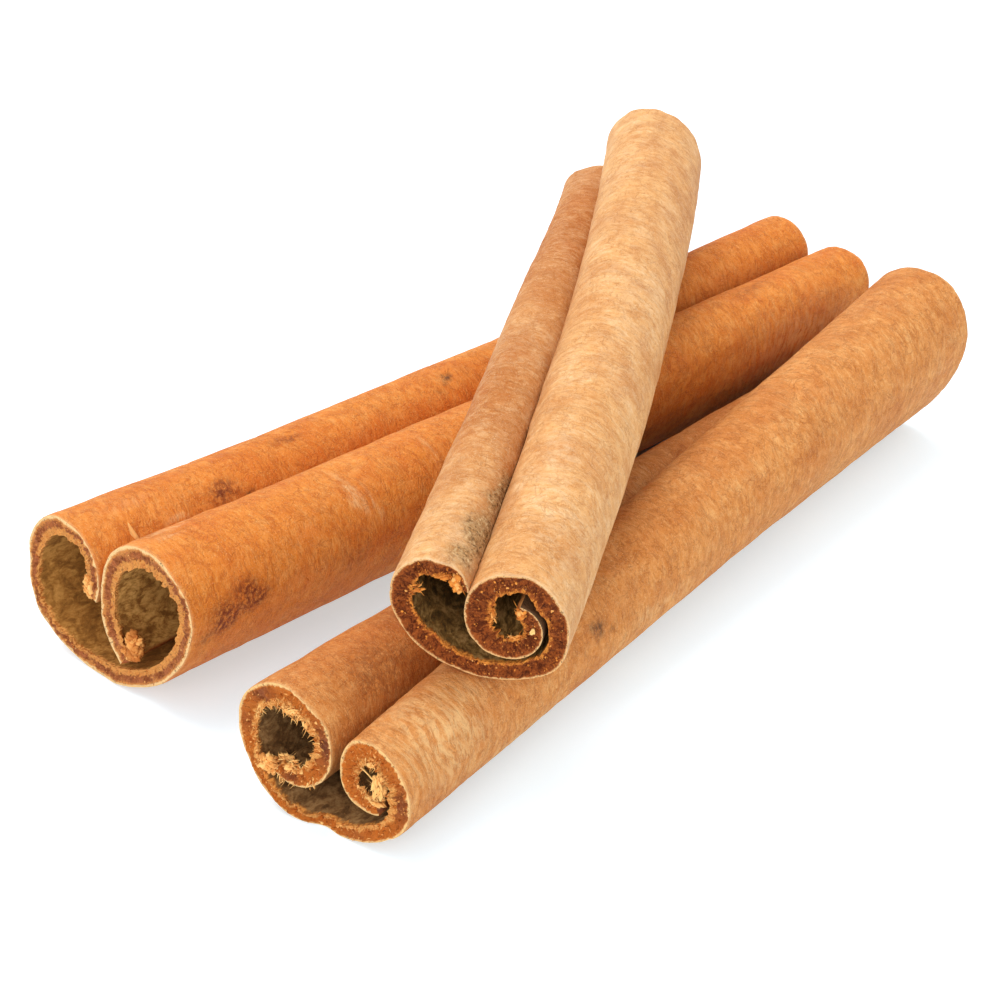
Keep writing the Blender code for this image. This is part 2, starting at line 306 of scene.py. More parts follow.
def build(stick):
    name = stick["name"]
    wear = WEAR[name]
    seed = wear["seed"]
    length = stick["length"]
    probe = [section(stick, t, 40, 40)[4] for t in (0, 0.5, 1)]
    left = int(round(np.mean([-p[0] for p in probe]) / SKIN_STEP))
    right = int(round(np.mean([p[-1] for p in probe]) / SKIN_STEP))
    cols = left + right + 1
    vs = rows_along(length, 0.13, ROW_STEP, 2.5)
    rows = len(vs)
    P, N, S, A, axis, across, rise = roll_up(stick, vs / length, left, right)
    V = np.repeat(vs[:, None], cols, 1)

    # ---- the skin: slow waves, lengthwise ridges, wrinkles, and a softened cut edge
    tight = np.clip((np.abs(A) - 300) / 60, 0, 1)          # laps that lie under others keep still
    calm = 1 - 0.75 * tight
    if stick["lies"]:
        calm = calm * np.clip(P[..., 2] / 1.2, 0.15, 1)
    h = wear["wave"] * uneven(S, V, 9.0, 21.0, seed) + 0.055 * uneven(S, V, 2.6, 17.0, seed + 5)
    h = h + 0.045 * uneven(S, V, 1.1, 2.6, seed + 10, 2)
    creases = np.abs(uneven(S + 0.8 * uneven(S, V, 2.0, 2.5, seed + 15), V, 1.7, 3.6, seed + 20))
    h = (h - 0.05 * np.exp(-(creases / 0.10) ** 2)) * calm
    marks = paint(stick, S, V)
    h = h + marks["grey"] * (0.10 + 0.12 * uneven(S, V, 0.5, 0.6, seed + 80, 2)) - 0.08 * marks["dark"]
    edge = np.exp(-V / 0.12) + np.exp(-(length - V) / 0.12)
    h = h - 0.05 * edge

    # ---- the cut lines: where each end really stops, along the axis
    near_line = wear["ragged"] * uneven(S[0], 0 * S[0], 3.4, 1, seed + 25, 3) + bump_at(S[0], NEAR_TORN[name])
    far_line = wear["ragged"] * uneven(S[-1], 0 * S[-1], 3.0, 1, seed + 29, 3)
    far_line = far_line - 0.45 * np.exp(-((S[-1] - 7.0) / 2.0) ** 2) - 0.3 * np.exp(-((S[-1] + 14.0) / 1.5) ** 2)
    slide = near_line * np.exp(-V / 1.6) + far_line * np.exp(-(length - V) / 1.6)
    skin = P + N * h[..., None] + axis * slide[..., None]
    if name == "stick_top":                                # the left curl's tip leans on the right curl
        lean = np.clip((np.abs(A) - (np.abs(A[:, :1]) - 75)) / 70, 0, 1) * (S < 0)
        lean = lean * lean * (3 - 2 * lean)
        for j in range(rows):
            wall = skin[j, (S[j] > 5) & (np.abs(A[j]) > 120) & (np.abs(A[j]) < 330)]
            away = wall - skin[j, 0]
            reach = np.linalg.norm(away, axis=1)
            near = int(np.argmin(reach))
            close = np.clip(reach[near] - 0.04, 0, 1.2)
            skin[j] += lean[j][:, None] * away[near] / reach[near] * close
    if stick["lies"]:
        skin[..., 2] = np.maximum(skin[..., 2], 0.015)

    uv = np.stack([(S - S.min()) / (S.max() - S.min()), V / length], -1).reshape(-1, 2)
    faces = grid_faces(rows, cols)
    strip = np.stack([S, V, 0 * S], -1).reshape(-1, 3)
    # inner: how far the skin lies on a lap under another, where the material paints it dark as painted shade
    marks["inner"] = np.clip((np.abs(A) - 235) / 150, 0, 1)
    flat = {key: value.ravel() for key, value in marks.items()}
    bark = make_mesh("skin_" + name[6:], skin.reshape(-1, 3), faces, dict(strip=strip, **flat), uv[faces.ravel()])

    # ---- the lining, at its own rows
    lv = np.concatenate([[0, 0.07, 0.15, 0.25, 0.37, 0.5, 0.66, 0.85, 1.1, 1.4, 1.8, 2.3], np.arange(3.0, 9.0, 0.75)])
    mid = np.linspace(9.0, length - 9.0, 34)
    lv = np.concatenate([lv, mid, (length - lv)[::-1]])
    lrows = len(lv)
    nl, nr = left * LINING_FINE, right * LINING_FINE
    LP, LN, LS, LA, _, _, _ = roll_up(stick, lv / length, nl, nr)
    LV = np.repeat(lv[:, None], LS.shape[1], 1)
    lcols = LS.shape[1]
    share = np.minimum(np.arange(lcols), lcols - 1 - np.arange(lcols)) / (lcols - 1)
    bark_mm = stick["bark"] * (EDGE_THIN + (1 - EDGE_THIN) * np.minimum(1, share / EDGE_RUN))
    T = bark_mm * (1 + 0.10 * uneven(LS, LV, 2.4, 9.0, seed + 33, 2))

    # room inside before another lap is met, at each end
    def room(row):
        x = (LP[row] @ across, LP[row] @ rise)
        nx = (LN[row] @ across, LN[row] @ rise)
        px, py = x[0] - nx[0] * T[row], x[1] - nx[1] * T[row]
        gap = np.full(lcols, 9.0)
        for other in ((x[0], x[1]), (px, py)):
            d = np.hypot(px[:, None] - other[0][None], py[:, None] - other[1][None])
            d[np.abs(LS[row][:, None] - LS[row][None]) < 3.4] = 9.0
            gap = np.minimum(gap, d.min(1))
        return np.clip(gap - 0.22, 0, 9)

    near_gap, far_gap = room(0), room(-1)

    def lip(row, gap, places, sd):
        s = LS[row]
        teeth = 0.5 + 0.5 * uneven(s, 0 * s, 0.42, 1, sd, 2)
        spikes = np.clip(uneven(s, 0 * s + 3, 0.30, 1, sd + 3, 2), 0, 1) ** 2
        slow = 0.6 + 0.5 * uneven(s, 0 * s + 7, 3.5, 1, sd + 5)
        size = (wear["lip"] * slow + bump_at(s, places)) * (0.35 + 0.65 * teeth + 0.9 * spikes)
        return np.minimum(np.clip(size, 0, None), gap * 0.8)

    near_lip = lip(0, near_gap, NEAR_LIP[name], seed + 40)
    far_lip = lip(-1, far_gap, ((-12.0, 3.0, 0.2), (12.0, 3.0, 0.25)), seed + 46)
    thin = 1 - np.clip(bump_at(LS[0], NEAR_THIN[name]), 0, 0.74) * np.exp(-LV / 2.2)
    T = T * np.maximum(thin, 0.26)
    depth = wear["lip_deep"] * (0.7 + 0.5 * uneven(LS[0], 0 * LS[0], 0.8, 1, seed + 50))
    grow = near_lip * np.exp(-(LV / depth) ** 1.3) + far_lip * np.exp(-((length - LV) / depth) ** 1.3)
    inner_wave = 0.05 * uneven(LS, LV, 1.6, 4.0, seed + 52, 2) * np.minimum(1, near_gap / 0.5)
    ragged_in = 0.16 * uneven(LS[0], 0 * LS[0], 0.55, 1, seed + 54, 3) * wear["relief"] / 0.16
    skin_near = np.interp(np.arange(lcols), np.arange(cols) * LINING_FINE, near_line)
    skin_far = np.interp(np.arange(lcols), np.arange(cols) * LINING_FINE, far_line)
    back = (skin_near + 0.12 + ragged_in) * np.exp(-LV / 1.6) + (skin_far - 0.12 - ragged_in) * np.exp(-(length - LV) / 1.6)
    lining = LP - LN * (T + grow + inner_wave)[..., None] + axis * back[..., None]

    # ---- the cut faces
    fcols = (cols - 1) * CUT_FINE + 1

    def spread(line, fine):
        n = len(line)
        at = np.linspace(0, n - 1, (n - 1) * fine + 1)
        return np.stack([np.interp(at, np.arange(n), line[:, k]) for k in range(line.shape[1])], -1)

    cut_points, cut_faces, cut_strip, cut_uv = [], [], [], []
    ends = {}
    for end, (srow, lrow, sign, gap) in enumerate(((0, 0, 1, near_gap), (-1, -1, -1, far_gap))):
        outer = spread(skin[srow], CUT_FINE)
        inner = spread(lining[lrow], CUT_FINE // LINING_FINE)
        normal = spread(N[srow], CUT_FINE)
        s = np.interp(np.linspace(0, cols - 1, fcols), np.arange(cols), S[srow])
        w = np.linspace(0, 1, THROUGH + 1)[:, None]
        ss = np.repeat(s[None], THROUGH + 1, 0)
        width = np.linalg.norm(outer - inner, axis=1)[None]
        grain = uneven(ss, w * width, 0.42, 0.34, seed + 90 + 7 * end, 3)
        fibre = uneven(ss, w * width, 0.22, 0.8, seed + 95 + 7 * end, 2)
        pits = np.clip(uneven(ss, w * width + 9, 0.5, 0.4, seed + 99 + 7 * end, 2) - 0.25, 0, 1)
        fade = np.sin(np.pi * np.clip(w, 0, 1)) ** 0.5
        e = wear["relief"] * (0.75 * grain + 0.45 * fibre + 1.1 * pits) * fade
        e = e + 0.10 * np.clip((w - 0.15) / 0.3, 0, 1) * fade
        e[0], e[-1] = 0, 0
        pts = outer[None] * (1 - w[..., None]) + inner[None] * w[..., None] + axis * (sign * e)[..., None]
        start = sum(len(p) for p in cut_points)
        cut_points.append(pts.reshape(-1, 3))
        f = grid_faces(THROUGH + 1, fcols, start, flip=(end == 0))
        cut_faces.append(f)
        vv = np.full(ss.shape, 0.0 if end == 0 else length)
        cut_strip.append(np.stack([ss, vv, np.repeat(w, fcols, 1)], -1).reshape(-1, 3))
        # four bands of the texture for each end
        col = np.repeat(np.arange(fcols - 1)[None], THROUGH, 0).ravel()
        row = np.repeat(np.arange(THROUGH)[:, None], fcols - 1, 1).ravel()
        per = -(-(fcols - 1) // 4)
        band = col // per
        corner_c = np.stack([col, col + 1, col + 1, col], -1) - (band * per)[:, None]
        corner_r = np.stack([row, row, row + 1, row + 1], -1)
        u = 0.01 + 0.98 * corner_c / per
        v = (band[:, None] + 4 * end + 0.06 + 0.88 * corner_r / THROUGH) / 8
        uvc = np.stack([u, v], -1)
        if end == 0:
            uvc = uvc[:, ::-1]
        cut_uv.append(uvc.reshape(-1, 2))
        ends[end] = dict(points=pts, s=s, normal=normal, inner=inner, outer=outer,
                         gap=np.interp(np.linspace(0, lcols - 1, fcols), np.arange(lcols), gap))
    cut = make_mesh("cut_" + name[6:], np.concatenate(cut_points), np.concatenate(cut_faces),
                    dict(strip=np.concatenate(cut_strip)), np.concatenate(cut_uv))

    # ---- the lining mesh with the two curled long edges
    pts = [lining.reshape(-1, 3)]
    fs = [grid_faces(lrows, lcols, flip=True)]
    wl = np.ones(LS.shape)
    st = [np.stack([LS, LV, wl], -1).reshape(-1, 3)]
    uvs = [cell((LS - LS.min()) / (LS.max() - LS.min()), LV / length, 0.0, 0.0, 0.92, 1.0).reshape(-1, 2)]
    start = lrows * lcols
    for side in (0, -1):
        top = np.stack([np.interp(lv, vs, skin[:, side, k]) for k in range(3)], -1)
        bottom = lining[:, side]
        w = np.linspace(0, 1, THROUGH + 1)
        tangent = np.cross(axis, (top - bottom))
        tangent = tangent / np.maximum(np.linalg.norm(tangent, axis=1), 1e-6)[:, None]
        if ((top[0] - skin[0, 1 if side == 0 else -2]) @ tangent[0]) < 0:
            tangent = -tangent
        ww, vv = np.meshgrid(w, lv)
        swell = 0.20 * np.sqrt(np.clip(1 - (2 * ww - 1) ** 2, 0, 1))
        swell = swell + 0.10 * uneven(ww * 1.2, vv, 0.35, 0.9, seed + 110 + side, 3) * np.sin(np.pi * ww)
        fade = np.clip(np.minimum(vv, length - vv) / 0.4, 0, 1)
        cap = top[:, None] * (1 - ww[..., None]) + bottom[:, None] * ww[..., None] + tangent[:, None] * (swell * fade)[..., None]
        for e, r in ((0, 0), (1, -1)):
            cap[r] = ends[e]["points"][:, side]
        pts.append(cap.reshape(-1, 3))
        fs.append(grid_faces(lrows, THROUGH + 1, start, flip=(side == 0)))
        st.append(np.stack([np.full(ww.shape, LS[0, side]), vv, ww], -1).reshape(-1, 3))
        x0 = 0.93 if side == 0 else 0.965
        uvs.append(cell(ww, vv / length, x0, 0.0, x0 + 0.03, 1.0).reshape(-1, 2))
        start += lrows * (THROUGH + 1)
    uvs = np.concatenate(uvs)
    fs = np.concatenate(fs)
    inside = make_mesh("lining_" + name[6:], np.concatenate(pts), fs, dict(strip=np.concatenate(st)), uvs[fs.ravel()])
    if name in NEAR_BAND:
        band = bump_at(np.concatenate(cut_strip)[:, 0], NEAR_BAND[name]) * (np.concatenate(cut_strip)[:, 1] < 1)
        band = np.clip(band, 0, 1) + 0.35 * (np.concatenate(cut_strip)[:, 1] > 1)
        cut.data.attributes.new("band", "FLOAT", "POINT").data.foreach_set("value", band.astype(np.float32))
    return dict(skin=bark, cut=cut, lining=inside, ends=ends, axis=axis, across=across, rise=rise, P=P, N=N, S=S, V=V,
                skin_points=skin)


# ------------------------------------------------------------------ fibres, flakes and crumbs
class Bits:
    """Collects many small closed shapes into one mesh."""

    def __init__(self):
        self.points, self.faces, self.tone, self.along, self.count = [], [], [], [], 0

    def add(self, points, faces, tone, along):
        self.points.append(points)
        self.faces.append(np.asarray(faces) + self.count)
        self.tone.append(np.full(len(points), tone))
        self.along.append(along)
        self.count += len(points)

    def hair(self, start, direction, bend, size, width, tone, flatness=0.6, sides=4, steps=5, wobble=0.25):
        """A tapered curved fibre."""
        direction = direction / np.linalg.norm(direction)
        side = np.cross(direction, bend)
        if np.linalg.norm(side) < 1e-6:
            side = np.cross(direction, (0.3, 0.5, 0.8))
        side = side / np.linalg.norm(side)
        up = np.cross(side, direction)
        pts, along = [], []
        for i in range(steps + 1):
            t = i / steps
            centre = start + direction * size * t + bend * size * t * t
            r = width * 0.5 * (1 - t) ** 0.7 * (1 + wobble * sin(9 * t + size * 40)) + 0.004
            for k in range(sides):
                a = 2 * np.pi * k / sides
                pts.append(centre + side * cos(a) * r + up * sin(a) * r * flatness)
                along.append(t)
        faces = []
        for i in range(steps):
            for k in range(sides):
                a, b = i * sides + k, i * sides + (k + 1) % sides
                faces.append((a, b, b + sides, a + sides))
        last = steps * sides
        faces.append((last, last + 1, last + 2, last + 3))
        faces.append((3, 2, 1, 0))
        self.add(np.array(pts), faces, tone, np.array(along))

    def crumb(self, centre, axes, tone, rng, rough=0.28, rings=7, around=10):
        """A lumpy closed grain. axes are three vectors."""
        lat = np.linspace(0, np.pi, rings + 1)
        lon = np.linspace(0, 2 * np.pi, around, endpoint=False)
        wob = rng.uniform(-1, 1, (4, 3))
        pts = []
        for la in lat:
            for lo in lon:
                d = np.array((sin(la) * cos(lo), sin(la) * sin(lo), cos(la)))
                r = 1 + rough * sum(sin(3.1 * (d @ wob[k]) * (k + 1) + 5 * wob[k, 0]) / (k + 1) for k in range(4)) / 1.4
                r *= 1 + (rng.uniform(-0.12, 0.12) if 0 < la < np.pi else 0)
                pts.append(centre + r * (d[0] * axes[0] + d[1] * axes[1] + d[2] * axes[2]))
        pts = np.array(pts)
        pts[:around] = pts[:around].mean(0)
        pts[-around:] = pts[-around:].mean(0)
        faces = []
        for i in range(rings):
            for k in range(around):
                a, b = i * around + k, i * around + (k + 1) % around
                faces.append((a, a + around, b + around, b))
        self.add(pts, faces, tone, np.repeat(np.linspace(0, 1, rings + 1), around))

    def mesh(self, name):
        points = np.concatenate(self.points)
        points[:, 2] = np.maximum(points[:, 2], 0.01)
        faces = np.concatenate([np.asarray(f) for f in self.faces])
        tone, along = np.concatenate(self.tone), np.concatenate(self.along)
        obj = make_mesh(name, points, faces, dict(tone=tone, along=along))
        return obj


def fray(bits, built, stick, end, count, size, width, seed, ranges=None, outward=0.35, tone=(0.3, 1.0)):
    """Fibres standing from the inner edge of a cut into the hollow."""
    rng = np.random.RandomState(seed)
    e = built["ends"][end]
    out = -built["axis"] if end == 0 else built["axis"]
    s = e["s"]
    tangent = np.gradient(e["inner"], axis=0)
    placed = 0
    tries = 0
    while placed < count and tries < count * 12:
        tries += 1
        if ranges:
            a, b = ranges[rng.randint(len(ranges))]
            at = rng.uniform(a, b)
            k = int(np.argmin(np.abs(s - at)))
        else:
            k = rng.randint(6, len(s) - 6)
        wanted = rng.uniform(*size)
        if e["gap"][k] < 0.5:
            continue
        wanted = min(wanted, e["gap"][k] * 0.8)
        tan_dir = tangent[k] / np.linalg.norm(tangent[k])
        inward = -e["normal"][k]
        level = rng.uniform(0.72, 1.0)
        row = e["points"][int(level * THROUGH), k]
        direction = inward * rng.uniform(0.6, 1.0) + out * rng.uniform(-0.5, outward) + tan_dir * rng.normal(0, 0.45)
        bend = inward * rng.normal(0, 0.15) + out * rng.normal(0, 0.3) + tan_dir * rng.normal(0, 0.35)
        start = row - out * 0.06 - inward * 0.05
        bits.hair(start, direction, bend, wanted, rng.uniform(*width), rng.uniform(*tone))
        placed += 1


def fuzz(bits, built, end, count, size, width, seed):
    """Short stubs standing from the face of a cut."""
    rng = np.random.RandomState(seed)
    e = built["ends"][end]
    out = -built["axis"] if end == 0 else built["axis"]
    tangent = np.gradient(e["inner"], axis=0)
    for _ in range(count):
        k = rng.randint(4, len(e["s"]) - 4)
        r = rng.randint(2, THROUGH)
        row = e["points"][r, k]
        tan_dir = tangent[k] / np.linalg.norm(tangent[k])
        direction = out * rng.uniform(0.3, 1.0) - e["normal"][k] * rng.normal(0.2, 0.6) + tan_dir * rng.normal(0, 0.6)
        bend = -e["normal"][k] * rng.normal(0, 0.3) + tan_dir * rng.normal(0, 0.3)
        bits.hair(row - out * 0.05, direction, bend, rng.uniform(*size), rng.uniform(*width), rng.uniform(0.1, 0.7), steps=3)


def grains(bits, built, end, count, size, seed, rows=(3, THROUGH)):
    """Crumbs sitting on a cut face."""
    rng = np.random.RandomState(seed)
    e = built["ends"][end]
    out = -built["axis"] if end == 0 else built["axis"]
    for _ in range(count):
        k = rng.randint(4, len(e["s"]) - 4)
        r = rng.randint(*rows)
        g = rng.uniform(*size)
        q = rng.normal(0, 1, (3, 3))
        q, _r = np.linalg.qr(q)
        axes = [q[0] * g, q[1] * g * rng.uniform(0.5, 0.9), q[2] * g * rng.uniform(0.4, 0.8)]
        bits.crumb(e["points"][r, k] + out * g * 0.15, axes, rng.uniform(0.0, 0.8) ** 1.3, rng, rings=4, around=6)


built = {stick["name"]: build(stick) for stick in STICKS}


def skin_spot(name, s, v):
    """Point, outward normal on a skin at strip coordinates."""
    b = built[name]
    j = int(np.argmin(np.abs(b["V"][:, 0] - v)))
    k = int(np.argmin(np.abs(b["S"][j] - s)))
    return b["skin_points"][j, k], b["N"][j, k]


def spot(b, end, s, w=1.0, inward=0.0, out=0.0):
    """A point on a cut face at strip coordinate s, moved into the hollow and out along the stick."""
    e = b["ends"][end]
    k = int(np.argmin(np.abs(e["s"] - s)))
    axis = -b["axis"] if end == 0 else b["axis"]
    return e["points"][int(w * THROUGH), k] - e["normal"][k] * inward + axis * out


def clump(bits, centre, axes, count, hairs, seed, grain=(0.16, 0.34), tone=(0.25, 0.95), hair=(0.25, 0.6), width=(0.06, 0.13), stretch=1.5):
    """A crumbled knot of torn bark: grains and fibres inside an ellipsoid given by three axes."""
    rng = np.random.RandomState(seed)
    axes = np.array(axes)
    for _ in range(count):
        d = rng.normal(0, 1, 3)
        d = d / np.linalg.norm(d) * rng.uniform(0.2, 1.0) ** 0.5
        g = rng.uniform(*grain)
        q, _r = np.linalg.qr(rng.normal(0, 1, (3, 3)))
        lean = axes[int(np.argmax(np.linalg.norm(axes, axis=1)))]
        lean = lean / np.linalg.norm(lean)
        if stretch > 1.0:
            q[0] = q[0] * 0.5 + lean
            q[0] /= np.linalg.norm(q[0])
        bits.crumb(centre + d @ axes, [q[0] * g * stretch, q[1] * g * 0.8, q[2] * g * 0.65], rng.uniform(*tone), rng, rough=0.5, rings=6, around=8)
    for _ in range(hairs):
        d = rng.normal(0, 1, 3)
        d = d / np.linalg.norm(d)
        bits.hair(centre + d @ axes * 0.7, d @ axes + rng.normal(0, 0.25, 3), rng.normal(0, 0.3, 3),
                  rng.uniform(*hair), rng.uniform(*width), rng.uniform(*tone), steps=4)


def blade(bits, root, direction, side, size, width, tone, bend=0.12, flatness=0.16):
    """A flat pointed splinter whose broad side faces across side x direction."""
    direction = direction / np.linalg.norm(direction)
    side = side - direction * (side @ direction)
    side = side / np.linalg.norm(side)
    bits.hair(root, direction, np.cross(side, direction) * bend, size, width, tone, flatness=flatness, sides=6, steps=7, wobble=0.04)


TO_RIGHT = np.array((0.72, 0.69, 0.0))      # across the camera's view, for splinters that show their broad side

# left stick: a light torn edge, a crumbled knot at each curl's tip, and a splinter standing by the groove
bits = Bits()
b = built["stick_left"]
fray(bits, b, LEFT_STICK, 0, 110, (0.12, 0.34), (0.05, 0.10), 501)
fray(bits, b, LEFT_STICK, 1, 110, (0.14, 0.4), (0.05, 0.11), 502)
fuzz(bits, b, 0, 110, (0.10, 0.26), (0.05, 0.10), 503)
fuzz(bits, b, 1, 90, (0.10, 0.28), (0.05, 0.10), 504)
grains(bits, b, 0, 90, (0.05, 0.11), 505)
grains(bits, b, 1, 110, (0.05, 0.12), 506)
up, over = b["rise"], b["across"]
clump(bits, spot(b, 0, 36.8, 1.0, 0.60, -0.30) - up * 0.1, (over * 0.85, up * 1.10, b["axis"] * 0.45), 120, 16, 507,
      grain=(0.18, 0.36), tone=(0.0, 0.6), stretch=0.9)
clump(bits, spot(b, 0, 37.4, 0.6, 0.35, -0.15), (over * 0.80, up * 0.40, b["axis"] * 0.35), 40, 14, 508,
      grain=(0.16, 0.30), tone=(0.1, 0.7), stretch=1.0)
clump(bits, spot(b, 0, -26.9, 0.75, 0.20, -0.22), (over * 0.50, up * 0.85, b["axis"] * 0.35), 80, 18, 509,
      grain=(0.16, 0.32), tone=(0.15, 0.85), stretch=1.0)
clump(bits, spot(b, 1, 30.0, 0.9, 0.2, -0.2), (b["across"] * 0.4, b["rise"] * 0.6, b["axis"] * 0.3), 14, 10, 510, grain=(0.12, 0.26))
root, out = skin_spot("stick_left", -23.4, 3.95)
blade(bits, root - np.array((0, 0, 0.15)), np.array((-0.39, -0.37, 1.53)), TO_RIGHT, 1.7, 0.62, 0.9, bend=0.03)
fibres_left = bits.mesh("fibres_left")

# right stick: thick ragged fringes of pale fibre in both curls, hanging spikes under the left one
bits = Bits()
b = built["stick_right"]
fray(bits, b, RIGHT_STICK, 0, 190, (0.2, 0.55), (0.07, 0.15), 521, ranges=((-27, -6),), outward=0.5)
fray(bits, b, RIGHT_STICK, 0, 70, (0.35, 0.75), (0.08, 0.15), 529, ranges=((-20, -10),), outward=0.3, tone=(0.6, 1.0))
fray(bits, b, RIGHT_STICK, 0, 60, (0.15, 0.45), (0.06, 0.14), 522, ranges=((9, 28),))
fray(bits, b, RIGHT_STICK, 0, 50, (0.12, 0.35), (0.06, 0.12), 528)
fray(bits, b, RIGHT_STICK, 1, 190, (0.2, 0.6), (0.06, 0.15), 523)
fuzz(bits, b, 0, 180, (0.12, 0.30), (0.07, 0.14), 524)
fuzz(bits, b, 1, 140, (0.12, 0.36), (0.06, 0.12), 525)
grains(bits, b, 0, 130, (0.06, 0.14), 526)
grains(bits, b, 1, 140, (0.06, 0.14), 527)
# the left curl's torn tip closes on the wall beside it, with spikes hanging below
up, over = b["rise"], b["across"]
clump(bits, spot(b, 0, -28.6, 0.5, 0.15, -0.2), (over * 0.75, up * 0.55, b["axis"] * 0.4), 46, 34, 531,
      grain=(0.14, 0.30), hair=(0.3, 0.7), stretch=1.2)
clump(bits, spot(b, 0, -28.8, 0.3, 0.0, -0.25) - over * 1.0 - up * 0.05, (over * 0.85, up * 0.65, b["axis"] * 0.4), 80, 34, 539,
      grain=(0.16, 0.32), hair=(0.25, 0.55), tone=(0.25, 0.9), stretch=1.0)
clump(bits, spot(b, 0, -27.2, 1.0, 0.1, -0.2), (b["across"] * 0.6, b["rise"] * 0.45, b["axis"] * 0.35), 22, 20, 532, grain=(0.12, 0.26))
clump(bits, spot(b, 0, -16.2, 1.0, 0.15, -0.15), (b["across"] * 0.6, b["rise"] * 0.4, b["axis"] * 0.3), 26, 30, 533, grain=(0.12, 0.24), tone=(0.4, 1.0))
clump(bits, spot(b, 0, -18.8, 1.0, 0.1, -0.15), (b["across"] * 0.35, b["rise"] * 0.6, b["axis"] * 0.3), 14, 20, 534, grain=(0.10, 0.22), tone=(0.4, 1.0))
# the right curl's hollow is half filled by a pale torn knot, with one long fibre across it
clump(bits, spot(b, 0, 14.2, 1.0, 0.35, -0.15), (b["across"] * 0.55, b["rise"] * 0.8, b["axis"] * 0.35), 40, 44, 535,
      grain=(0.14, 0.30), tone=(0.55, 1.0), hair=(0.3, 0.65))
clump(bits, spot(b, 0, 17.2, 1.0, 0.1, -0.15), (b["across"] * 0.5, b["rise"] * 0.35, b["axis"] * 0.3), 16, 18, 536, grain=(0.12, 0.22), tone=(0.4, 1.0))
clump(bits, spot(b, 0, 27.6, 0.9, 0.1, -0.2), (b["across"] * 0.6, b["rise"] * 0.4, b["axis"] * 0.35), 22, 24, 537, grain=(0.12, 0.26), tone=(0.3, 1.0))
a0, a1 = spot(b, 0, 20.3, 1.0, -0.05, 0.0), spot(b, 0, 13.6, 1.0, 0.4, 0.05)
bits.hair(a0, a1 - a0, np.array((0, 0, -0.12)), float(np.linalg.norm(a1 - a0)), 0.22, 1.0, flatness=0.5, steps=8)
rng = np.random.RandomState(538)
for i in range(30):
    root = spot(b, 0, rng.choice((-28.6, -27.4, -25.4)) + rng.normal(0, 0.35), rng.uniform(0.0, 0.5), -0.02, 0.02)
    bits.hair(root, np.array((rng.normal(0, 0.25), 0, -1.0)) - b["axis"] * rng.uniform(0, 0.5), rng.normal(0, 0.2, 3),
              rng.uniform(0.2, 0.55), rng.uniform(0.07, 0.15), rng.uniform(0.4, 1.0), steps=4)
fibres_right = bits.mesh("fibres_right")

# top stick: a crumbly line round the hollow, chips at the outer edge, a frayed left tip
bits = Bits()
b = built["stick_top"]
fray(bits, b, TOP_STICK, 0, 120, (0.10, 0.30), (0.05, 0.11), 541)
fray(bits, b, TOP_STICK, 1, 120, (0.12, 0.36), (0.05, 0.12), 543)
fuzz(bits, b, 0, 90, (0.10, 0.24), (0.05, 0.10), 544)
fuzz(bits, b, 1, 80, (0.10, 0.24), (0.05, 0.10), 545)
grains(bits, b, 0, 120, (0.05, 0.12), 546)
grains(bits, b, 1, 170, (0.05, 0.13), 547)
up, over = b["rise"], b["across"]
clump(bits, spot(b, 0, -18.9, 0.55, 0.05, -0.15), (over * 0.60, up * 0.55, b["axis"] * 0.35), 70, 18, 551,
      grain=(0.14, 0.28), tone=(0.2, 0.75), stretch=0.9)
clump(bits, spot(b, 0, -17.6, 1.0, 0.05, -0.15), (over * 0.60, up * 0.35, b["axis"] * 0.3), 34, 20, 556, grain=(0.12, 0.24), tone=(0.1, 0.6))
clump(bits, spot(b, 0, 30.6, 0.5, 0.0, -0.15), (over * 0.36, up * 0.34, b["axis"] * 0.3), 34, 4, 557, grain=(0.12, 0.22),
      tone=(0.1, 0.7), stretch=0.9)
clump(bits, spot(b, 0, -11.8, 1.0, 0.05, -0.15), (b["across"] * 0.5, b["rise"] * 0.4, b["axis"] * 0.3), 16, 14, 552, grain=(0.10, 0.22), tone=(0.1, 0.7))
clump(bits, spot(b, 0, 19.4, 1.0, 0.0, -0.15), (b["across"] * 0.25, b["rise"] * 0.9, b["axis"] * 0.3), 26, 18, 553, grain=(0.10, 0.22), tone=(0.1, 0.7))
clump(bits, spot(b, 0, 25.5, 1.0, 0.0, -0.1), (b["across"] * 0.6, b["rise"] * 0.2, b["axis"] * 0.25), 14, 10, 554, grain=(0.09, 0.18), tone=(0.3, 1.0))
g = spot(b, 0, 28.4, 0.5, 0.0, 0.08)
rng = np.random.RandomState(555)
bits.crumb(g, [b["across"] * 0.16, b["rise"] * 0.22, b["axis"] * 0.14], 1.0, rng, rough=0.8)
fibres_top = bits.mesh("fibres_top")


# ------------------------------------------------------------------ materials
def srgb(r, g, b, share=1.0):
    """Linear colour from display values, scaled by share."""
    return tuple(share * (((c / 255 + 0.055) / 1.055) ** 2.4 if c > 10 else c / 255 / 12.92) for c in (r, g, b)) + (1.0,)


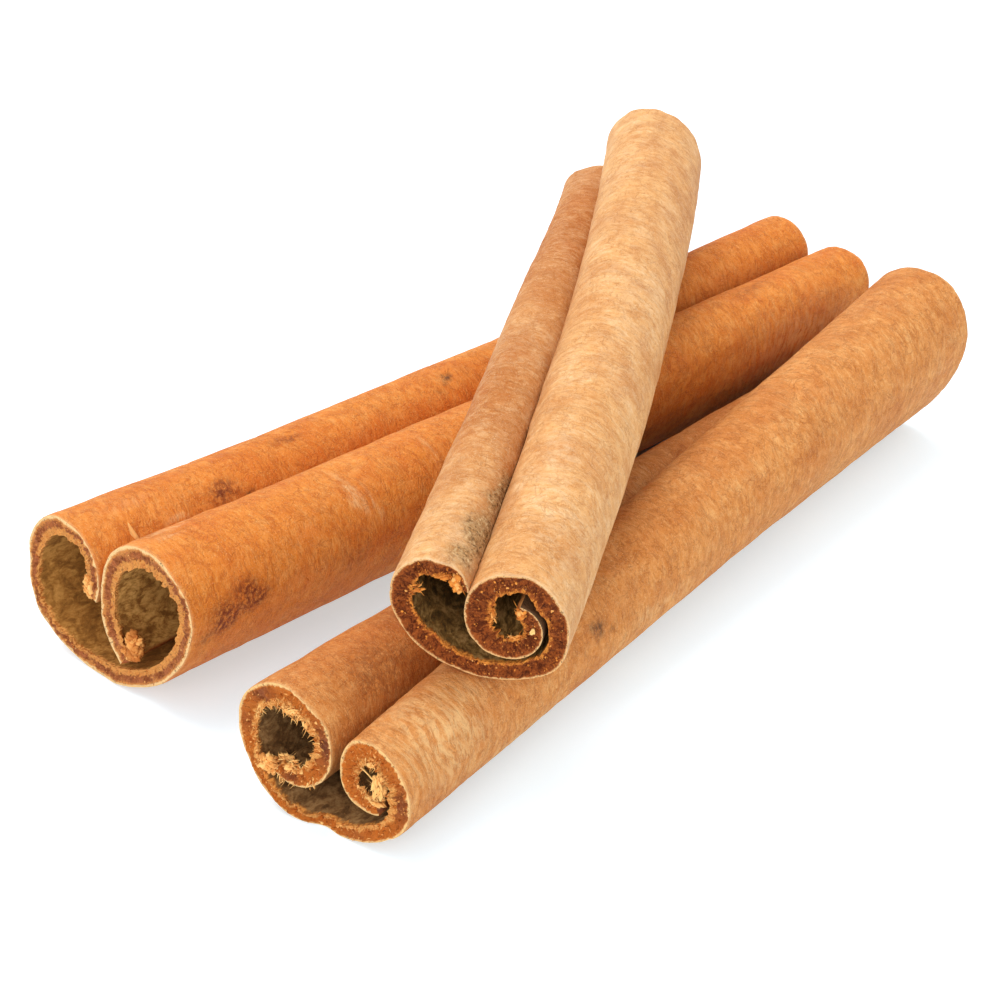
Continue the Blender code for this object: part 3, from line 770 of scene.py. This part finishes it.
class Look:
    """A node material, built with short calls."""

    def __init__(self, name):
        self.mat = bpy.data.materials.new(name)
        self.mat.use_nodes = True
        self.tree = self.mat.node_tree
        self.bsdf = self.tree.nodes["Principled BSDF"]

    def link(self, value, socket):
        if isinstance(value, bpy.types.NodeSocket):
            self.tree.links.new(value, socket)
        elif value is not None:
            socket.default_value = value

    def attribute(self, name, vector=False):
        n = self.tree.nodes.new("ShaderNodeAttribute")
        n.attribute_name = name
        return n.outputs["Vector" if vector else "Fac"]

    def scaled(self, vector, by, shift=(0, 0, 0)):
        n = self.tree.nodes.new("ShaderNodeMapping")
        self.link(vector, n.inputs["Vector"])
        n.inputs["Scale"].default_value = by
        n.inputs["Location"].default_value = shift
        return n.outputs["Vector"]

    def noise(self, vector, scale, detail=2.0, rough=0.55, warp=0.0):
        n = self.tree.nodes.new("ShaderNodeTexNoise")
        self.link(vector, n.inputs["Vector"])
        n.inputs["Scale"].default_value = scale
        n.inputs["Detail"].default_value = detail
        n.inputs["Roughness"].default_value = rough
        n.inputs["Distortion"].default_value = warp
        return n.outputs["Fac"]

    def cells(self, vector, scale, feature="F1"):
        n = self.tree.nodes.new("ShaderNodeTexVoronoi")
        n.feature = feature
        self.link(vector, n.inputs["Vector"])
        n.inputs["Scale"].default_value = scale
        return n.outputs["Distance"]

    def math(self, op, a, b=None, c=None, clamp=False):
        n = self.tree.nodes.new("ShaderNodeMath")
        n.operation = op
        n.use_clamp = clamp
        for value, socket in zip((a, b, c), n.inputs):
            self.link(value, socket)
        return n.outputs[0]

    def span(self, value, lo, hi, out_lo=0.0, out_hi=1.0):
        n = self.tree.nodes.new("ShaderNodeMapRange")
        n.interpolation_type = "SMOOTHSTEP"
        self.link(value, n.inputs["Value"])
        for key, v in (("From Min", lo), ("From Max", hi), ("To Min", out_lo), ("To Max", out_hi)):
            n.inputs[key].default_value = v
        return n.outputs["Result"]

    def mix(self, fac, a, b, blend="MIX"):
        n = self.tree.nodes.new("ShaderNodeMix")
        n.data_type = "RGBA"
        n.blend_type = blend
        self.link(fac, n.inputs[0])
        self.link(a, n.inputs[6])
        self.link(b, n.inputs[7])
        return n.outputs[2]

    def ramp(self, fac, stops):
        n = self.tree.nodes.new("ShaderNodeValToRGB")
        self.link(fac, n.inputs["Fac"])
        e = n.color_ramp.elements
        while len(e) < len(stops):
            e.new(0.5)
        for item, (pos, colour) in zip(e, stops):
            item.position = pos
            item.color = colour
        return n.outputs["Color"]

    def separate(self, vector):
        n = self.tree.nodes.new("ShaderNodeSeparateXYZ")
        self.link(vector, n.inputs[0])
        return n.outputs

    def bump(self, height, distance_mm, strength=1.0, under=None):
        n = self.tree.nodes.new("ShaderNodeBump")
        n.inputs["Strength"].default_value = strength
        n.inputs["Distance"].default_value = distance_mm * MM
        self.link(height, n.inputs["Height"])
        if under is not None:
            self.link(under, n.inputs["Normal"])
        return n.outputs["Normal"]

    def finish(self, colour, roughness, normal, specular=0.3):
        self.link(colour, self.bsdf.inputs["Base Color"])
        self.link(roughness, self.bsdf.inputs["Roughness"])
        self.link(normal, self.bsdf.inputs["Normal"])
        self.bsdf.inputs["Specular IOR Level"].default_value = specular
        return self.mat


SKIN = {
    "stick_left": dict(
        deep=srgb(222, 118, 34, 0.82), base=srgb(240, 146, 56, 0.83), light=srgb(250, 174, 92, 0.84),
        squiggle=srgb(186, 82, 20, 0.72), red=srgb(132, 58, 26, 0.75), pale=srgb(250, 200, 142, 0.88), amount=0.42,
        warm=srgb(226, 112, 30, 0.78)),
    "stick_right": dict(
        deep=srgb(210, 124, 46, 0.84), base=srgb(230, 152, 78, 0.86), light=srgb(244, 182, 112, 0.88),
        squiggle=srgb(172, 86, 26, 0.72), red=srgb(142, 72, 26, 0.75), pale=srgb(250, 210, 150, 0.90), amount=0.45,
        warm=srgb(206, 112, 38, 0.80)),
    "stick_top": dict(
        deep=srgb(232, 160, 88, 0.84), base=srgb(244, 184, 118, 0.86), light=srgb(251, 208, 156, 0.88),
        squiggle=srgb(200, 118, 48, 0.74), red=srgb(156, 92, 44, 0.75), pale=srgb(254, 226, 186, 0.90), amount=0.42,
        warm=srgb(200, 110, 30, 0.75)),
}


def skin_look(name):
    c = SKIN[name]
    seed = WEAR[name]["seed"]
    look = Look("bark_skin_" + name[6:])
    strip = look.attribute("strip", True)
    here = look.scaled(strip, (1, 1, 1), (seed * 3.1, seed * 1.7, 0))
    # a slow swirl turns the fine fibres this way and that
    swirl = look.tree.nodes.new("ShaderNodeTexNoise")
    swirl.inputs["Scale"].default_value = 0.13
    swirl.inputs["Detail"].default_value = 2.0
    look.link(here, swirl.inputs["Vector"])
    bent = look.tree.nodes.new("ShaderNodeVectorMath")
    bent.operation = "MULTIPLY_ADD"
    look.link(swirl.outputs["Color"], bent.inputs[0])
    bent.inputs[1].default_value = (3.4, 3.4, 0.0)
    look.link(here, bent.inputs[2])
    bent = bent.outputs["Vector"]
    slow = look.noise(look.scaled(here, (1.0, 0.6, 1.0)), 0.17, 3, 0.55, 0.4)
    patches = look.noise(look.scaled(here, (0.8, 1.0, 1.0)), 0.85, 4, 0.66, 0.6)
    threads = look.noise(look.scaled(bent, (0.50, 1.8, 1.0)), 1.3, 4, 0.68, 0.35)
    fine = look.noise(look.scaled(bent, (0.7, 1.6, 1.0), (5, 2, 0)), 4.2, 3, 0.72, 0.3)
    speck = look.noise(here, 8.5, 2, 0.6)

    def strokes(vector, scale, width, where, warp):
        """Short dark strokes: the zero lines of a warped noise, kept in places."""
        wavy = look.noise(vector, scale, 2, 0.55, warp)
        line = look.span(look.math("ABSOLUTE", look.math("SUBTRACT", wavy, 0.5)), 0.0, width, 1.0, 0.0)
        keep = look.span(look.noise(look.scaled(vector, (1, 1, 1), (30, 8, 0)), where, 3, 0.6), 0.46, 0.60)
        return look.math("MULTIPLY", line, keep)

    cross = strokes(look.scaled(bent, (0.50, 1.5, 1.0), (9, 4, 0)), 1.4, 0.060, 0.8, 0.6)
    lengthwise = strokes(look.scaled(bent, (1.2, 0.7, 1.0), (3, 14, 0)), 1.4, 0.045, 0.7, 0.7)
    tiny = strokes(look.scaled(bent, (0.7, 1.3, 1.0), (21, 3, 0)), 2.8, 0.10, 0.9, 0.5)
    grainy = look.noise(look.scaled(bent, (0.8, 1.2, 1.0), (2, 11, 0)), 2.3, 3, 0.62, 0.4)
    stroke = look.math("MAXIMUM", look.math("MAXIMUM", cross, lengthwise), look.math("MULTIPLY", tiny, 0.8))

    tone = look.math("ADD", look.math("MULTIPLY", slow, 0.18), look.math("MULTIPLY", patches, 0.22))
    tone = look.math("ADD", tone, look.math("MULTIPLY", threads, 0.20))
    tone = look.math("ADD", tone, look.math("MULTIPLY", grainy, 0.26))
    tone = look.math("ADD", tone, look.math("MULTIPLY", fine, 0.14))
    colour = look.ramp(look.span(tone, 0.34, 0.65), ((0.0, c["deep"]), (0.5, c["base"]), (1.0, c["light"])))
    hue = look.noise(look.scaled(here, (1, 0.7, 1), (40, 20, 0)), 0.32, 3, 0.6, 0.5)
    colour = look.mix(look.span(hue, 0.38, 0.72, 0.0, 0.40), colour, c["warm"])
    warm = look.attribute("warm")
    warm_fac = look.math("MULTIPLY", warm, look.span(look.math("MULTIPLY_ADD", patches, 0.5, look.math("MULTIPLY", grainy, 0.5)), 0.36, 0.62, 0.95, 0.50))
    colour = look.mix(warm_fac, colour, c["warm"])
    colour = look.mix(look.math("MULTIPLY", stroke, c["amount"]), colour, c["squiggle"])
    flecks = look.span(speck, 0.58, 0.70)
    colour = look.mix(look.math("MULTIPLY", flecks, 0.40), colour, c["pale"])
    pits = look.span(speck, 0.42, 0.32)
    colour = look.mix(look.math("MULTIPLY", pits, 0.36), colour, c["squiggle"])
    # patches
    red = look.attribute("red")
    granular = look.span(look.noise(here, 2.6, 4, 0.7, 0.5), 0.36, 0.60)
    red_fac = look.math("MULTIPLY", look.span(red, 0.10, 0.80), look.math("MULTIPLY_ADD", granular, 0.80, 0.15), clamp=True)
    colour = look.mix(red_fac, colour, c["red"])
    pale = look.attribute("pale")
    colour = look.mix(look.math("MULTIPLY", look.span(pale, 0.05, 0.6), look.span(threads, 0.40, 0.60, 0.1, 0.6)), colour, c["pale"])
    grey = look.attribute("grey")
    crust = look.noise(here, 2.6, 5, 0.80, 0.4)
    crust_colour = look.ramp(crust, ((0.36, srgb(64, 46, 24)), (0.5, srgb(150, 120, 74)), (0.62, srgb(232, 204, 154))))
    grey_fac = look.math("MULTIPLY", look.span(grey, 0.12, 0.75), look.span(look.math("ABSOLUTE", look.math("SUBTRACT", crust, 0.5)), 0.0, 0.10, 0.35, 0.9))
    colour = look.mix(grey_fac, colour, crust_colour)
    dark = look.attribute("dark")
    dark_fac = look.math("MULTIPLY", look.span(dark, 0.1, 0.8), look.span(look.noise(here, 3.0, 3, 0.7), 0.36, 0.6, 0.25, 0.9))
    colour = look.mix(dark_fac, colour, srgb(98, 62, 34))
    # painted shade: skin on laps lying under others is darkened to deep brown
    inner = look.attribute("inner")
    colour = look.mix(look.span(inner, 0.0, 1.0, 0.0, 0.94), colour, srgb(72, 42, 18))
    # a thin paler rim where the skin meets a cut
    v = look.separate(strip)[1]
    length = [s for s in STICKS if s["name"] == name][0]["length"]
    from_cut = look.math("MINIMUM", v, look.math("SUBTRACT", length, v))
    rim = look.span(look.math("ADD", from_cut, look.math("MULTIPLY", fine, 0.5)), 0.15, 0.55, 0.45, 0.0)
    # the pale rim is held back on those inner laps, part of their painted shade
    rim = look.math("MULTIPLY", rim, look.span(inner, 0.3, 0.9, 1.0, 0.15))
    colour = look.mix(rim, colour, c["pale"])

    height = look.math("MULTIPLY_ADD", fine, 0.5, look.math("MULTIPLY_ADD", threads, 0.6, look.math("MULTIPLY", grainy, 0.5)))
    height = look.math("MULTIPLY_ADD", stroke, -0.22, height)
    rough_h = look.math("MULTIPLY_ADD", speck, 0.5, height)
    crusty = look.math("MULTIPLY", look.math("MULTIPLY", grey, crust), 2.0)
    normal = look.bump(look.math("ADD", rough_h, crusty), 0.17, 0.9)
    rough = look.span(fine, 0.3, 0.7, 0.62, 0.86)
    return look.finish(colour, rough, normal, 0.25)


CUT = {
    # colours from skin to hollow, and where the dark band starts and ends
    "stick_left": dict(line=srgb(250, 206, 144), tan=srgb(216, 140, 74), band=srgb(132, 66, 36), band2=srgb(178, 102, 62),
                       inner=srgb(232, 158, 82), pit=srgb(104, 48, 18), start=0.26, end=0.62, broken=0.42, strength=0.9, rim=0.14),
    "stick_right": dict(line=srgb(250, 202, 134), tan=srgb(204, 112, 42), band=srgb(112, 60, 42), band2=srgb(144, 80, 52),
                        inner=srgb(244, 174, 96), pit=srgb(116, 56, 18), start=0.12, end=0.66, broken=0.38, strength=0.92, rim=0.09),
    "stick_top": dict(line=srgb(246, 194, 130), tan=srgb(176, 92, 40), band=srgb(94, 40, 16), band2=srgb(164, 84, 36),
                      inner=srgb(238, 150, 62), pit=srgb(62, 24, 8), start=0.12, end=0.82, broken=0.28, strength=0.95, rim=0.07),
}


def cut_look(name):
    c = CUT[name]
    seed = WEAR[name]["seed"]
    look = Look("bark_cut_" + name[6:])
    strip = look.attribute("strip", True)
    flat = look.scaled(strip, (1.0, 1.0, 1.4), (seed * 1.3, 0, seed))
    part = look.separate(strip)
    grain = look.noise(flat, 2.4, 4, 0.68, 0.5)
    fine = look.noise(flat, 6.0, 3, 0.7)
    slow = look.noise(flat, 0.5, 3, 0.6)
    w = look.math("ADD", part[2], look.math("MULTIPLY", look.math("SUBTRACT", grain, 0.5), 0.42))
    w = look.math("ADD", w, look.math("MULTIPLY", look.math("SUBTRACT", fine, 0.5), 0.28))
    w = look.math("ADD", w, look.math("MULTIPLY", look.math("SUBTRACT", slow, 0.5), 0.30))
    edge = look.math("ADD", part[2], look.math("MULTIPLY", look.math("SUBTRACT", grain, 0.5), 0.22))
    into = look.span(w, c["start"] - 0.05, c["start"] + 0.06)
    out_of = look.span(w, c["end"] - 0.05, c["end"] + 0.07, 1.0, 0.0)
    band = look.math("MULTIPLY", into, out_of)
    there = look.span(look.math("MULTIPLY_ADD", slow, 0.6, look.math("MULTIPLY", grain, 0.4)), c["broken"] - 0.05, c["broken"] + 0.07)
    band = look.math("MULTIPLY", look.math("MULTIPLY", band, there), c["strength"])
    if name in NEAR_BAND:
        band = look.math("MULTIPLY", band, look.attribute("band"))
    colour = look.mix(look.span(edge, c["rim"] - 0.04, c["rim"] + 0.05), c["line"], c["tan"])
    crumbs = look.noise(flat, 2.0, 4, 0.74, 0.5)
    inside = look.mix(look.span(crumbs, 0.40, 0.56), c["tan"], c["inner"])
    colour = look.mix(look.span(w, c["end"] - 0.05, c["end"] + 0.10), colour, inside)
    lumps = look.noise(flat, 1.5, 4, 0.72, 0.6)
    shade = look.math("MULTIPLY_ADD", lumps, 0.6, look.math("MULTIPLY", fine, 0.4))
    brown = look.mix(look.span(shade, 0.42, 0.58), c["band"], c["band2"])
    colour = look.mix(band, colour, brown)
    light = look.span(fine, 0.57, 0.70)
    colour = look.mix(look.math("MULTIPLY", light, 0.28), colour, c["inner"])
    dark = look.span(look.math("MULTIPLY_ADD", grain, 0.5, look.math("MULTIPLY", fine, 0.5)), 0.47, 0.38)
    colour = look.mix(look.math("MULTIPLY", dark, 0.75), colour, c["pit"])
    white = look.math("MULTIPLY", look.span(look.cells(flat, 1.2), 0.12, 0.05), look.span(lumps, 0.5, 0.56))
    colour = look.mix(look.math("MULTIPLY", white, 0.4), colour, srgb(240, 194, 130))
    height = look.math("MULTIPLY_ADD", fine, 0.8, grain)
    normal = look.bump(height, 0.26, 1.0)
    return look.finish(colour, 0.88, normal, 0.15)


# deep: how dark the lining is painted with distance from the cut, a painted shade deeper in the hollow
LINING = {
    "stick_left": dict(dark=srgb(124, 80, 32), base=srgb(166, 112, 50), light=srgb(200, 144, 74), lip=srgb(236, 166, 90), run=0.45, deep=0.35),
    "stick_right": dict(dark=srgb(88, 58, 30), base=srgb(134, 96, 56), light=srgb(174, 132, 84), lip=srgb(238, 160, 78), run=0.5, deep=0.7),
    "stick_top": dict(dark=srgb(66, 46, 20), base=srgb(128, 94, 46), light=srgb(184, 142, 86), lip=srgb(238, 152, 64), run=0.5, deep=0.92),
}


def lining_look(name):
    c = LINING[name]
    seed = WEAR[name]["seed"]
    look = Look("bark_lining_" + name[6:])
    strip = look.attribute("strip", True)
    part = look.separate(strip)
    here = look.scaled(strip, (1, 1, 1), (seed * 1.9, seed * 0.7, 0))
    streaks = look.noise(look.scaled(here, (1.0, 0.65, 1.0)), 1.7, 4, 0.70, 0.5)
    patch = look.noise(here, 0.75, 4, 0.65, 0.8)
    fine = look.noise(look.scaled(here, (1.0, 0.7, 1.0)), 4.2, 3, 0.7)
    tone = look.math("ADD", look.math("MULTIPLY", streaks, 0.32), look.math("MULTIPLY_ADD", patch, 0.52, look.math("MULTIPLY", fine, 0.16)))
    colour = look.ramp(look.span(tone, 0.38, 0.63), ((0.0, c["dark"]), (0.5, c["base"]), (1.0, c["light"])))
    if name == "stick_left":                               # painted light: the lining of its right hollow is lightened where shade falls there
        right_hollow_painted_light = look.math("MULTIPLY", look.span(part[0], 14.0, 22.0, 0.0, 0.85), look.span(tone, 0.42, 0.60, 0.02, 1.0))
        colour = look.mix(right_hollow_painted_light, colour, srgb(218, 166, 94))
    # torn fibre colour on the lip at each cut and on the curled edges
    length = [s for s in STICKS if s["name"] == name][0]["length"]
    from_cut = look.math("MINIMUM", part[1], look.math("SUBTRACT", length, part[1]))
    # painted shade: the lining darkens towards near black with distance from the cut, deeper into the hollow
    colour = look.mix(look.span(from_cut, 0.8, 10.0, 0.0, c["deep"]), colour, srgb(26, 17, 8))
    reach = look.math("ADD", from_cut, look.math("MULTIPLY", look.math("SUBTRACT", streaks, 0.5), 1.4))
    lip = look.span(reach, c["run"] * 0.2, c["run"], 1.0, 0.0)
    lip_colour = look.mix(look.span(fine, 0.38, 0.62), srgb(168, 92, 36), c["lip"])
    colour = look.mix(lip, colour, lip_colour)
    rough_w = look.math("ADD", part[2], look.math("MULTIPLY", look.math("SUBTRACT", fine, 0.5), 0.5))
    edge = look.span(rough_w, 0.72, 0.98, 1.0, 0.0)
    edge_colour = look.ramp(rough_w, ((0.0, SKIN[name]["deep"]), (0.35, CUT[name]["band2"]), (0.8, CUT[name]["inner"])))
    edge_colour = look.mix(look.span(patch, 0.4, 0.6, 0.1, 0.6), edge_colour, CUT[name]["band"])
    colour = look.mix(edge, colour, edge_colour)
    height = look.math("MULTIPLY_ADD", fine, 0.5, look.math("MULTIPLY", streaks, 0.6))
    normal = look.bump(height, 0.14, 0.7)
    return look.finish(colour, 0.88, normal, 0.15)


def fibre_look(name):
    look = Look("bark_fibre_" + name[6:])
    tone, along = look.attribute("tone"), look.attribute("along")
    base = CUT[name]["inner"]
    colour = look.ramp(tone, ((0.0, srgb(180, 98, 36)), (0.5, base), (1.0, srgb(250, 204, 128))))
    colour = look.mix(look.span(along, 0.0, 0.35, 0.35, 0.0), colour, srgb(156, 82, 28))
    coord = look.tree.nodes.new("ShaderNodeTexCoord").outputs["Object"]
    fine = look.noise(coord, 6000, 3, 0.6)
    colour = look.mix(look.span(fine, 0.55, 0.7, 0.0, 0.3), colour, srgb(186, 104, 48))
    return look.finish(colour, 0.8, look.bump(fine, 0.05, 0.6), 0.2)


fibres = {"stick_left": fibres_left, "stick_right": fibres_right, "stick_top": fibres_top}
for stick in STICKS:
    name = stick["name"]
    b = built[name]
    b["skin"].data.materials.append(skin_look(name))
    b["cut"].data.materials.append(cut_look(name))
    b["lining"].data.materials.append(lining_look(name))
    fibres[name].data.materials.append(fibre_look(name))
    for piece in (b["skin"], b["cut"], b["lining"], fibres[name]):
        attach(piece, "root")
        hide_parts(name)

# ------------------------------------------------------------------ floor, light, camera
mesh = bpy.data.meshes.new("floor")
mesh.from_pydata([(-3, -3, 0), (3, -3, 0), (3, 3, 0), (-3, 3, 0)], [], [(0, 1, 2, 3)])
floor = bpy.data.objects.new("floor", mesh)
bpy.context.scene.collection.objects.link(floor)
look = Look("floor_white_painted_glow")
look.finish(srgb(209, 214, 221), 0.9, None, 0.1)
# painted light: the glow is tinted blue to take the warm tint out of the shadows on the floor
look.bsdf.inputs["Emission Color"].default_value = (0.80, 1.00, 1.06, 1.0)
# the floor glows, a painted light that lifts the shadows on it; the glow is cut out between the two lower sticks, a
# painted shade there
place = look.tree.nodes.new("ShaderNodeTexCoord").outputs["Object"]
shade = look.scaled(place, (1000 / 9.0, 1000 / 24.0, 0.0), (4 / 9.0, -18 / 24.0, 0.0))
away = look.tree.nodes.new("ShaderNodeVectorMath")
away.operation = "LENGTH"
look.link(shade, away.inputs[0])
look.link(look.span(away.outputs["Value"], 0.75, 1.25, 0.0, 0.47), look.bsdf.inputs["Emission Strength"])
floor.data.materials.append(look.mat)

view = bpy.context.scene.view_settings
view.view_transform, view.look, view.exposure, view.gamma = "Standard", "None", 0.0, 1.0

world = bpy.context.scene.world or bpy.data.worlds.new("studio")
bpy.context.scene.world = world
world.use_nodes = True
back = world.node_tree.nodes.get("Background")
back.inputs["Color"].default_value = (1.0, 1.0, 1.0, 1.0)
back.inputs["Strength"].default_value = 0.98


def soft_sun(name, energy, spread, heading, colour):
    sun = bpy.data.lights.new(name, "SUN")
    sun.energy = energy
    sun.angle = radians(spread)
    sun.color = colour
    lamp = bpy.data.objects.new(name, sun)
    lamp.rotation_euler = Vector(heading).to_track_quat("-Z", "Y").to_euler()
    bpy.context.scene.collection.objects.link(lamp)


soft_sun("key", 1.45, 50, (0.42, -0.10, -1.0), (1.0, 0.985, 0.965))
soft_sun("fill", 0.85, 30, (-0.42, 0.80, -0.42), (1.0, 0.99, 0.98))

eye, target = Vector((141.8, -143.0, 107.3)) * MM, Vector((-9.9, 3.0, 0.0)) * MM
lens = bpy.data.cameras.new("camera")
lens.sensor_width = 36.0
lens.lens = 18.0 / tan(radians(10.0))
lens.clip_start = 0.01
lens.clip_end = 20.0
camera = bpy.data.objects.new("camera", lens)
camera.location = eye
camera.rotation_euler = (target - eye).to_track_quat("-Z", "Y").to_euler()
bpy.context.scene.collection.objects.link(camera)
bpy.context.scene.camera = camera
